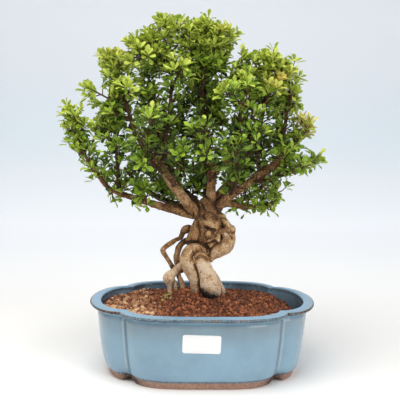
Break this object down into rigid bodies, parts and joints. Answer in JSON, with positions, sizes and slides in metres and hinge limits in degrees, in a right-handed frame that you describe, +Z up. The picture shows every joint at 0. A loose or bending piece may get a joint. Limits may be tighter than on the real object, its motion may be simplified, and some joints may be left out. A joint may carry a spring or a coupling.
{
  "type": "bonsai tree in a glazed pot",
  "caption": "Small-leaved barberry bonsai with a twisted trunk and exposed roots, standing in an oval lobed pot with a wide rim and a light blue glaze.",
  "frame": {"origin": "middle of the underside of the whole object's box, where the pot stands", "axes": "+X along the pot's long side to the right as the tree is seen from its front, +Y to the back, +Z up"},
  "size_m": [0.3072, 0.2098, 0.3944],
  "materials": {
    "glaze": "light blue glossy glaze on fired brown clay, bare clay on the foot",
    "soil_grain": "matt red-brown fired clay grains, moist",
    "bark": "rough weathered bark, cream on its high places and dark brown in its folds",
    "leaf": "half-gloss living leaf, yellow-green on new growth and deep green inside",
    "sticker": "white paper sticker, blank",
    "screen_plastic": "dark moulded plastic"
  },
  "bodies": {
    "root": {"pot": "glaze", "soil": "soil_grain", "tree_wood": "bark", "leafy_stem_01": "leaf", "leafy_stem_02": "leaf", "leafy_stem_03": "leaf", "leafy_stem_04": "leaf", "leafy_stem_05": "leaf", "leafy_stem_06": "leaf", "leafy_stem_07": "leaf", "leafy_stem_08": "leaf", "leafy_stem_09": "leaf", "leafy_stem_10": "leaf", "leafy_stem_11": "leaf", "leafy_stem_12": "leaf", "leafy_stem_13": "leaf", "leafy_stem_14": "leaf", "leafy_stem_15": "leaf", "leafy_stem_16": "leaf", "leafy_stem_17": "leaf", "leafy_stem_18": "leaf", "leafy_stem_19": "leaf", "leafy_stem_20": "leaf", "leafy_stem_21": "leaf", "leafy_stem_22": "leaf", "leafy_stem_23": "leaf", "leafy_stem_24": "leaf", "leafy_stem_25": "leaf", "leafy_stem_26": "leaf", "leafy_stem_27": "leaf", "leafy_stem_28": "leaf", "leafy_stem_29": "leaf", "leafy_stem_30": "leaf", "leafy_stem_31": "leaf", "leafy_stem_32": "leaf", "leafy_stem_33": "leaf", "leafy_stem_34": "leaf", "leafy_stem_35": "leaf", "leafy_stem_36": "leaf", "leafy_stem_37": "leaf", "leafy_stem_38": "leaf", "leafy_stem_39": "leaf", "leafy_stem_40": "leaf", "leafy_stem_41": "leaf", "leafy_stem_42": "leaf", "leafy_stem_43": "leaf", "leafy_stem_44": "leaf", "leafy_stem_45": "leaf", "leafy_stem_46": "leaf", "leafy_stem_47": "leaf", "leafy_stem_48": "leaf", "leafy_stem_49": "leaf", "leafy_stem_50": "leaf", "leafy_stem_51": "leaf", "leafy_stem_52": "leaf", "drain_screen_left": "screen_plastic", "drain_screen_right": "screen_plastic", "label": "sticker"}
  },
  "joints": []
}
